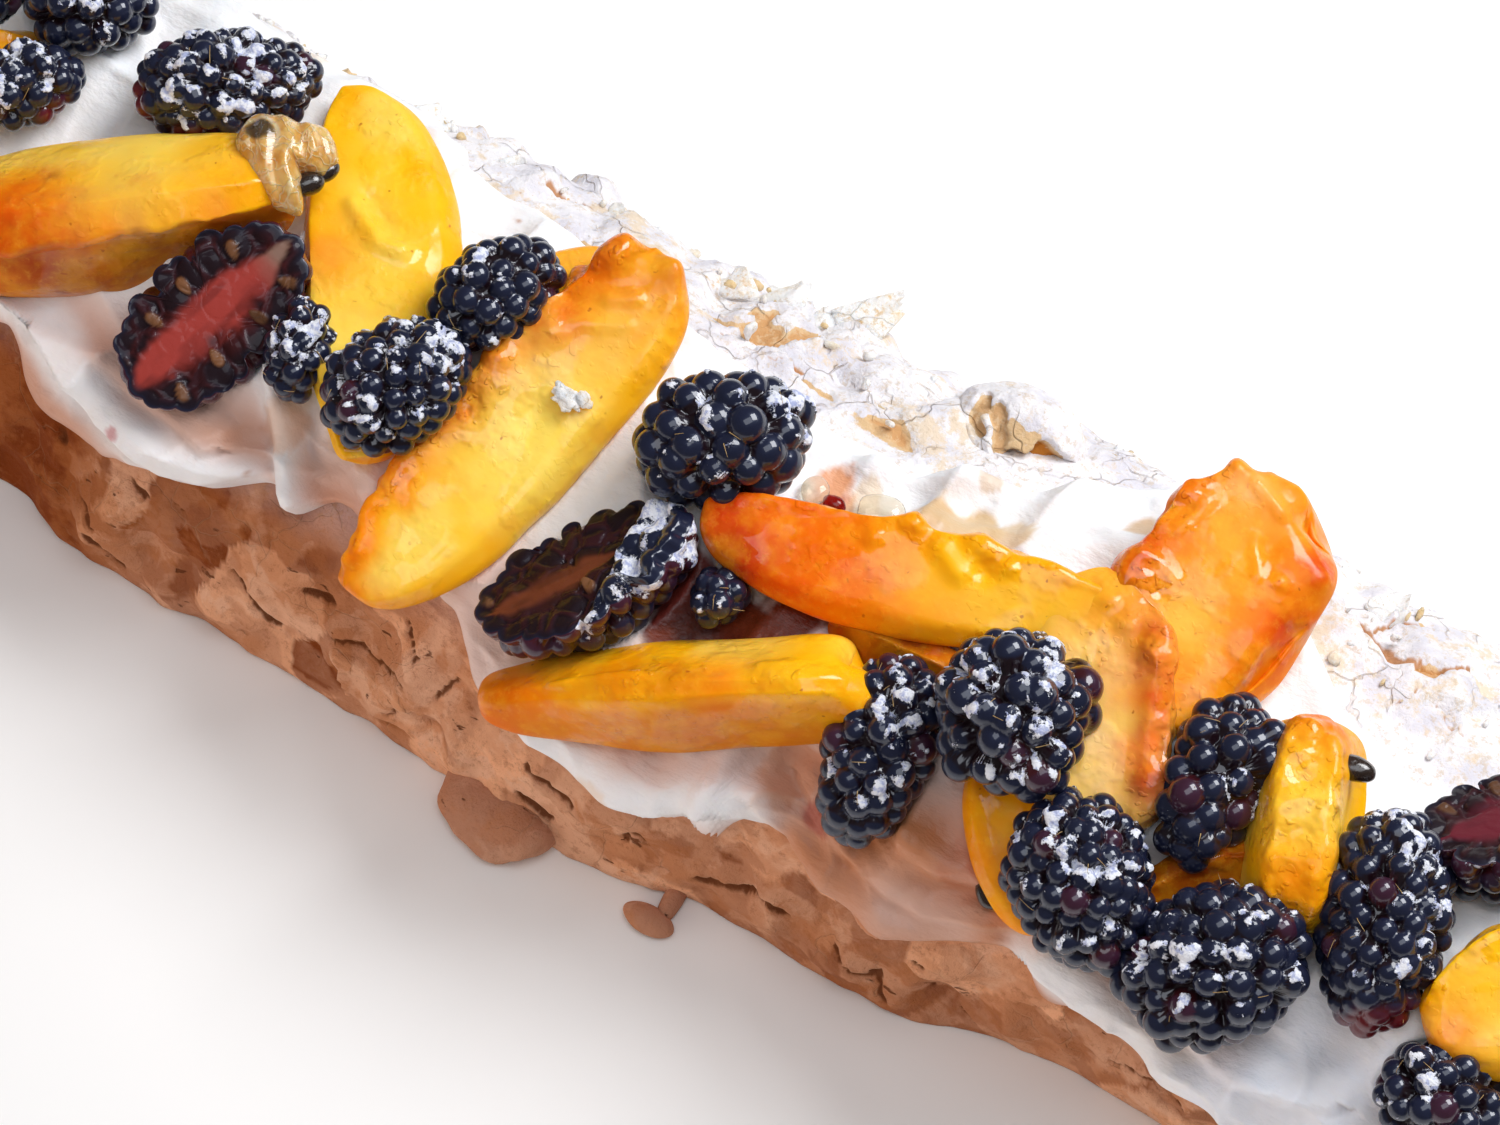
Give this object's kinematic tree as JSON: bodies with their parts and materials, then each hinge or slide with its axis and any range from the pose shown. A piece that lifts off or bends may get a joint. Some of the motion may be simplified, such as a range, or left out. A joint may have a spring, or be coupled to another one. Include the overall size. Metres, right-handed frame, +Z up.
{
  "type": "pavlova",
  "caption": "Long log-shaped pavlova: cracked meringue base with a band of whipped cream, peach slices, dark bramble berries and passion-fruit pulp.",
  "frame": {"origin": "middle of the flat underside, on the line the log runs along", "axes": "+X along the log, +Z up, -Y to its near side"},
  "size_m": [0.33, 0.103, 0.068],
  "materials": {
    "meringue": "matt dusted crust, browned at the foot",
    "cream": "satin soft cream",
    "berry": "glossy near-black skin with icing-sugar patches",
    "peach": "wet yellow-orange flesh",
    "passionfruit": "glossy amber jelly with black seeds"
  },
  "bodies": {
    "root": {"meringue_base": "meringue", "whipped_cream": "cream", "passionfruit_pulp": "passionfruit", "dark_berry_01": "berry", "dark_berry_02": "berry", "dark_berry_03": "berry", "dark_berry_04": "berry", "dark_berry_05": "berry", "dark_berry_06": "berry", "dark_berry_07": "berry", "dark_berry_08": "berry", "dark_berry_09": "berry", "dark_berry_10": "berry", "dark_berry_11": "berry", "dark_berry_12": "berry", "dark_berry_13": "berry", "dark_berry_14": "berry", "dark_berry_15": "berry", "dark_berry_16": "berry", "dark_berry_17": "berry", "dark_berry_18": "berry", "dark_berry_19": "berry", "dark_berry_20": "berry", "dark_berry_21": "berry", "peach_slice_01": "peach", "peach_slice_02": "peach", "peach_slice_03": "peach", "peach_slice_04": "peach", "peach_slice_05": "peach", "peach_slice_06": "peach", "peach_slice_07": "peach", "peach_slice_08": "peach", "peach_slice_09": "peach", "peach_slice_10": "peach", "peach_slice_11": "peach", "peach_slice_12": "peach", "peach_slice_13": "peach", "peach_slice_14": "peach"}
  },
  "joints": []
}
